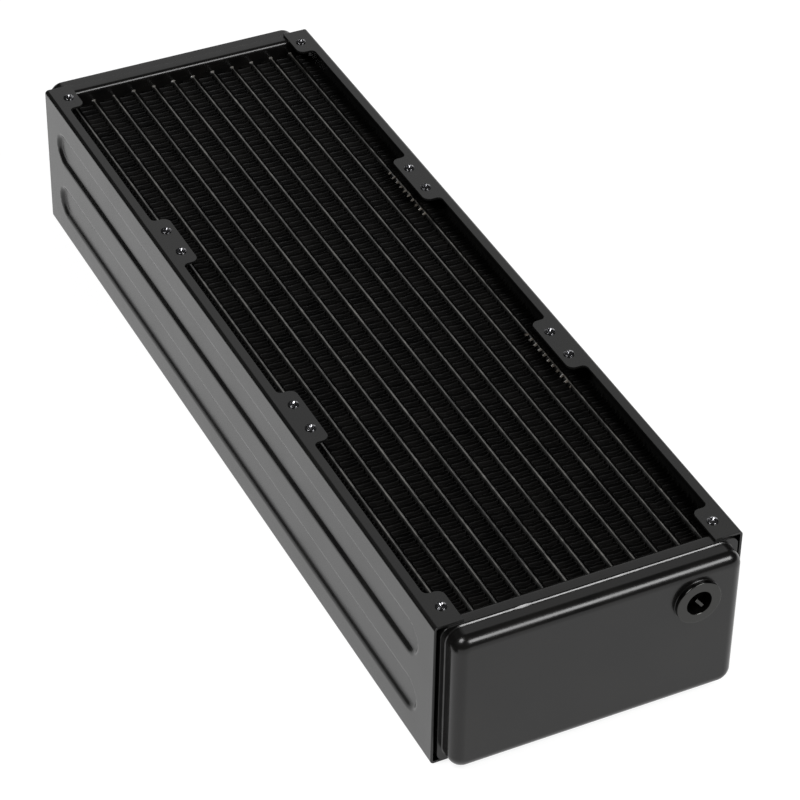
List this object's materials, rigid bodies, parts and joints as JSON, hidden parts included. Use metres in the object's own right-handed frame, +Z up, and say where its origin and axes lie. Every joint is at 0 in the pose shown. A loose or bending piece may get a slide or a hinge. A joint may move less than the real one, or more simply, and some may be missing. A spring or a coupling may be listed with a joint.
{
  "type": "liquid cooling radiator",
  "caption": "Long black liquid cooling radiator for a row of case fans: finned tube core, folded side panels, rounded end tanks, threaded ports and a screw-in stop plug.",
  "frame": {"origin": "centre of the underside, in the plane of the lower flanges, which is also the centre of the middle fan's screw pattern", "axes": "+Z up towards the face that holds the screws, +Y along the length away from the stop plug, +X across the width"},
  "size_m": [0.119, 0.384, 0.0639],
  "materials": {
    "panel_paint": "satin black powder coat on folded steel sheet",
    "tank_paint": "smooth satin black enamel on drawn brass",
    "bush_paint": "satin black enamel on turned brass",
    "tube_paint": "thin black paint over flat brass tube",
    "fin_paint": "thin black paint over folded copper sheet",
    "bare_brass": "bare, inside the tank",
    "plug_plating": "black nickel plated, satin",
    "seal_rubber": "matt",
    "screw_plating": "black zinc plated"
  },
  "bodies": {
    "root": {"side_panel_left": "panel_paint", "side_panel_right": "panel_paint", "tank_front": "tank_paint", "tank_rear": "tank_paint", "header_plate_front": "tank_paint", "header_plate_rear": "tank_paint", "port_bush_front": "bush_paint", "port_bush_inlet": "bush_paint", "port_bush_outlet": "bush_paint", "rear_tank_divider": "bare_brass", "tube_lower_01": "tube_paint", "tube_lower_02": "tube_paint", "tube_lower_03": "tube_paint", "tube_lower_04": "tube_paint", "tube_lower_05": "tube_paint", "tube_lower_06": "tube_paint", "tube_lower_07": "tube_paint", "tube_lower_08": "tube_paint", "tube_lower_09": "tube_paint", "tube_lower_10": "tube_paint", "tube_lower_11": "tube_paint", "tube_lower_12": "tube_paint", "tube_upper_01": "tube_paint", "tube_upper_02": "tube_paint", "tube_upper_03": "tube_paint", "tube_upper_04": "tube_paint", "tube_upper_05": "tube_paint", "tube_upper_06": "tube_paint", "tube_upper_07": "tube_paint", "tube_upper_08": "tube_paint", "tube_upper_09": "tube_paint", "tube_upper_10": "tube_paint", "tube_upper_11": "tube_paint", "tube_upper_12": "tube_paint", "fin_bank_01": "fin_paint", "fin_bank_02": "fin_paint", "fin_bank_03": "fin_paint", "fin_bank_04": "fin_paint", "fin_bank_05": "fin_paint", "fin_bank_06": "fin_paint", "fin_bank_07": "fin_paint", "fin_bank_08": "fin_paint", "fin_bank_09": "fin_paint", "fin_bank_10": "fin_paint", "fin_bank_11": "fin_paint", "fin_bank_12": "fin_paint", "fin_bank_13": "fin_paint", "fan_screws": "screw_plating"},
    "seal": {"plug_seal": "seal_rubber"},
    "plug": {"stop_plug": "plug_plating"}
  },
  "joints": [
    {"name": "seal_slide", "type": "slide", "parent": "root", "child": "seal", "axis": [0, -1, 0], "range_m": [0, 0.0081]},
    {"name": "plug_turn", "type": "hinge", "parent": "seal", "child": "plug", "pos_m": [0.0369, -0.1912, 0.0472], "axis": [0, -1, 0], "range_deg": [0, 2160]}
  ],
  "couplings": [
    {"joint": "seal_slide", "follows": "plug_turn", "m_per_rad": 0.00021279}
  ]
}
